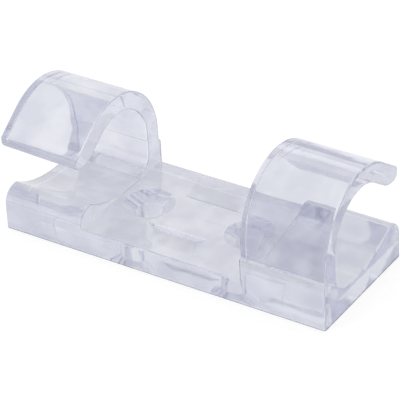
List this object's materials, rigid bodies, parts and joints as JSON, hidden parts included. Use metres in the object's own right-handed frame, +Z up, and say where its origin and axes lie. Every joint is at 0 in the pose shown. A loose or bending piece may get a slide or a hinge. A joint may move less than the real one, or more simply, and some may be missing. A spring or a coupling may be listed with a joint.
{
  "type": "adhesive cable clip",
  "caption": "Clear moulded cable clip: flat base with countersunk screw holes between open hooks that rise from opposite long edges and carry a cable lengthwise.",
  "frame": {"origin": "centre of the flat underside", "axes": "+X along the cable, towards the hook that rises from the front edge; +Y from that hook's root towards its mouth; +Z up, away from the wall or desk"},
  "size_m": [0.042, 0.0164, 0.0156],
  "materials": {
    "clear_plastic": "clear polished moulding with a faint lavender cast"
  },
  "bodies": {
    "root": {"clip_body": "clear_plastic"}
  },
  "joints": []
}
